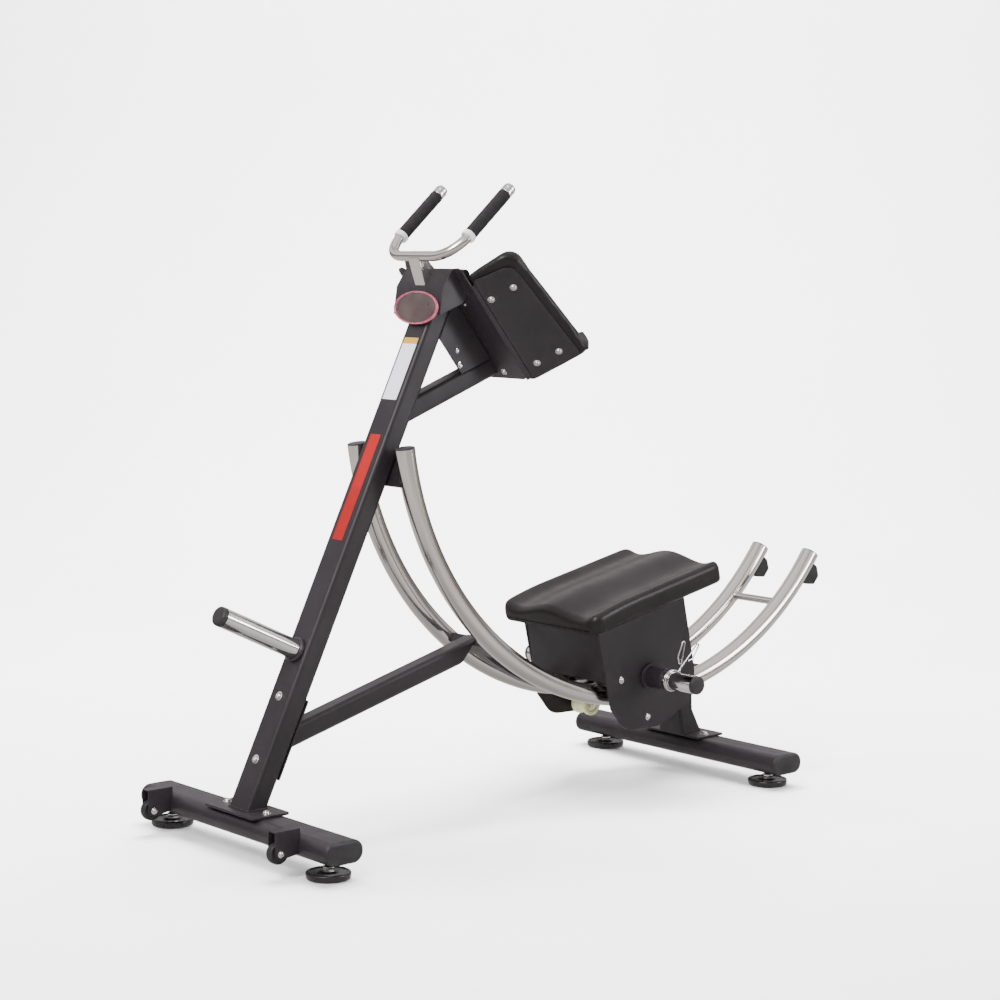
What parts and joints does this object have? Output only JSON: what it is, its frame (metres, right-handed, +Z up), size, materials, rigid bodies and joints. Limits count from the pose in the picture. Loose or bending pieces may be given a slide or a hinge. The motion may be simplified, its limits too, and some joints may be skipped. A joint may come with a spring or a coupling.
{
  "type": "ab crunch machine",
  "caption": "Abdominal crunch machine with a padded knee carriage that rolls on curved rails below a leaning upright with handles and elbow rests",
  "frame": {"origin": "on the floor, under the middle of the machine's overall box", "axes": "+X runs from the upright towards the rear base, +Y to the user's right, +Z up"},
  "size_m": [1.9873, 0.776, 1.5699],
  "materials": {
    "black_paint": "satin black powder coat",
    "black_plastic": "moulded black plastic",
    "black_rubber": "black rubber",
    "foam_grip": "matte black foam grip",
    "black_vinyl": "black vinyl upholstery",
    "stainless": "brushed stainless steel",
    "chrome": "polished chrome",
    "roller_plastic": "cream polyurethane"
  },
  "bodies": {
    "frame": {"front_base_tube": "black_paint", "rear_base_tube": "black_paint", "upright_base_plate": "black_paint", "upright": "black_paint", "head_housing": "black_paint", "wheel_bracket_left": "black_paint", "wheel_bracket_right": "black_paint", "upper_strut": "black_paint", "elbow_spine": "black_paint", "elbow_bracket": "black_paint", "elbow_plate_left": "black_paint", "elbow_plate_right": "black_paint", "lower_strut": "black_paint", "rail_ladder": "black_paint", "rear_pedestal": "black_paint", "rail_front_bracket": "black_paint", "front_base_cap_left": "black_plastic", "front_base_cap_right": "black_plastic", "rear_base_cap_left": "black_plastic", "rear_base_cap_right": "black_plastic", "rail_front_cap_left": "black_plastic", "rail_front_cap_right": "black_plastic", "rail_rear_cap_left": "black_plastic", "rail_rear_cap_right": "black_plastic", "storage_horn_cap": "black_plastic", "rail_stop_left": "black_rubber", "rail_stop_right": "black_rubber", "handle_grip_left": "foam_grip", "handle_grip_right": "foam_grip", "elbow_pad_left": "black_vinyl", "elbow_pad_right": "black_vinyl", "handlebar": "stainless", "handle_stem": "stainless", "rail_left": "stainless", "rail_right": "stainless", "rail_crossbar": "stainless", "handle_end_cap_left": "chrome", "handle_end_cap_right": "chrome", "storage_horn": "chrome"},
    "carriage": {"carriage_body": "black_paint", "carriage_side_left": "black_paint", "carriage_side_right": "black_paint", "knee_pad": "black_vinyl", "carriage_horn_bar": "chrome", "carriage_horn_cap_left": "black_plastic", "carriage_horn_cap_right": "black_plastic"},
    "roller_upper_front_left": {"roller_upper_front_left": "roller_plastic"},
    "roller_upper_rear_left": {"roller_upper_rear_left": "roller_plastic"},
    "roller_lower_left": {"roller_lower_left": "roller_plastic"},
    "spring_clip_left": {"spring_clip_left": "chrome"},
    "roller_upper_front_right": {"roller_upper_front_right": "roller_plastic"},
    "roller_upper_rear_right": {"roller_upper_rear_right": "roller_plastic"},
    "roller_lower_right": {"roller_lower_right": "roller_plastic"},
    "spring_clip_right": {"spring_clip_right": "chrome"},
    "foot_front_left": {"foot_front_left": "black_rubber"},
    "foot_front_right": {"foot_front_right": "black_rubber"},
    "foot_rear_left": {"foot_rear_left": "black_rubber"},
    "foot_rear_right": {"foot_rear_right": "black_rubber"},
    "transport_wheel_left": {"transport_wheel_left": "black_rubber"},
    "transport_wheel_right": {"transport_wheel_right": "black_rubber"}
  },
  "joints": [
    {"name": "carriage_swing", "type": "hinge", "parent": "frame", "child": "carriage", "pos_m": [0.3269, 0, 1.045], "axis": [0, 1, 0], "range_deg": [-45, 57]},
    {"name": "roller_upper_front_left_spin", "type": "hinge", "parent": "carriage", "child": "roller_upper_front_left", "pos_m": [0.20082, -0.0951, 0.29959], "axis": [0, 1, 0], "range_deg": [-2100, 2100]},
    {"name": "roller_upper_rear_left_spin", "type": "hinge", "parent": "carriage", "child": "roller_upper_rear_left", "pos_m": [0.40067, -0.0951, 0.29261], "axis": [0, 1, 0], "range_deg": [-2100, 2100]},
    {"name": "roller_lower_left_spin", "type": "hinge", "parent": "carriage", "child": "roller_lower_left", "pos_m": [0.29708, -0.0951, 0.19102], "axis": [0, 1, 0], "range_deg": [-2100, 2100]},
    {"name": "spring_clip_left_slide", "type": "slide", "parent": "carriage", "child": "spring_clip_left", "axis": [0, 1, 0], "range_m": [-0.075, 0.008]},
    {"name": "roller_upper_front_right_spin", "type": "hinge", "parent": "carriage", "child": "roller_upper_front_right", "pos_m": [0.20082, 0.0951, 0.29959], "axis": [0, 1, 0], "range_deg": [-2100, 2100]},
    {"name": "roller_upper_rear_right_spin", "type": "hinge", "parent": "carriage", "child": "roller_upper_rear_right", "pos_m": [0.40067, 0.0951, 0.29261], "axis": [0, 1, 0], "range_deg": [-2100, 2100]},
    {"name": "roller_lower_right_spin", "type": "hinge", "parent": "carriage", "child": "roller_lower_right", "pos_m": [0.29708, 0.0951, 0.19102], "axis": [0, 1, 0], "range_deg": [-2100, 2100]},
    {"name": "spring_clip_right_slide", "type": "slide", "parent": "carriage", "child": "spring_clip_right", "axis": [0, -1, 0], "range_m": [-0.075, 0.008]},
    {"name": "foot_front_left_turn", "type": "hinge", "parent": "frame", "child": "foot_front_left", "pos_m": [-0.8701, -0.324, 0.02], "axis": [0, 0, 1], "continuous": true},
    {"name": "foot_front_right_turn", "type": "hinge", "parent": "frame", "child": "foot_front_right", "pos_m": [-0.8701, 0.324, 0.02], "axis": [0, 0, 1], "continuous": true},
    {"name": "foot_rear_left_turn", "type": "hinge", "parent": "frame", "child": "foot_rear_left", "pos_m": [0.5759, -0.315, 0.02], "axis": [0, 0, 1], "continuous": true},
    {"name": "foot_rear_right_turn", "type": "hinge", "parent": "frame", "child": "foot_rear_right", "pos_m": [0.5759, 0.315, 0.02], "axis": [0, 0, 1], "continuous": true},
    {"name": "transport_wheel_left_roll", "type": "hinge", "parent": "frame", "child": "transport_wheel_left", "pos_m": [-0.9681, -0.265, 0.0622], "axis": [0, 1, 0], "continuous": true},
    {"name": "transport_wheel_right_roll", "type": "hinge", "parent": "frame", "child": "transport_wheel_right", "pos_m": [-0.9681, 0.265, 0.0622], "axis": [0, 1, 0], "continuous": true}
  ],
  "couplings": [
    {"joint": "roller_upper_front_left_spin", "follows": "carriage_swing", "ratio": -34.1},
    {"joint": "roller_upper_rear_left_spin", "follows": "carriage_swing", "ratio": -34.1},
    {"joint": "roller_lower_left_spin", "follows": "carriage_swing", "ratio": 35.4},
    {"joint": "roller_upper_front_right_spin", "follows": "carriage_swing", "ratio": -34.1},
    {"joint": "roller_upper_rear_right_spin", "follows": "carriage_swing", "ratio": -34.1},
    {"joint": "roller_lower_right_spin", "follows": "carriage_swing", "ratio": 35.4}
  ]
}
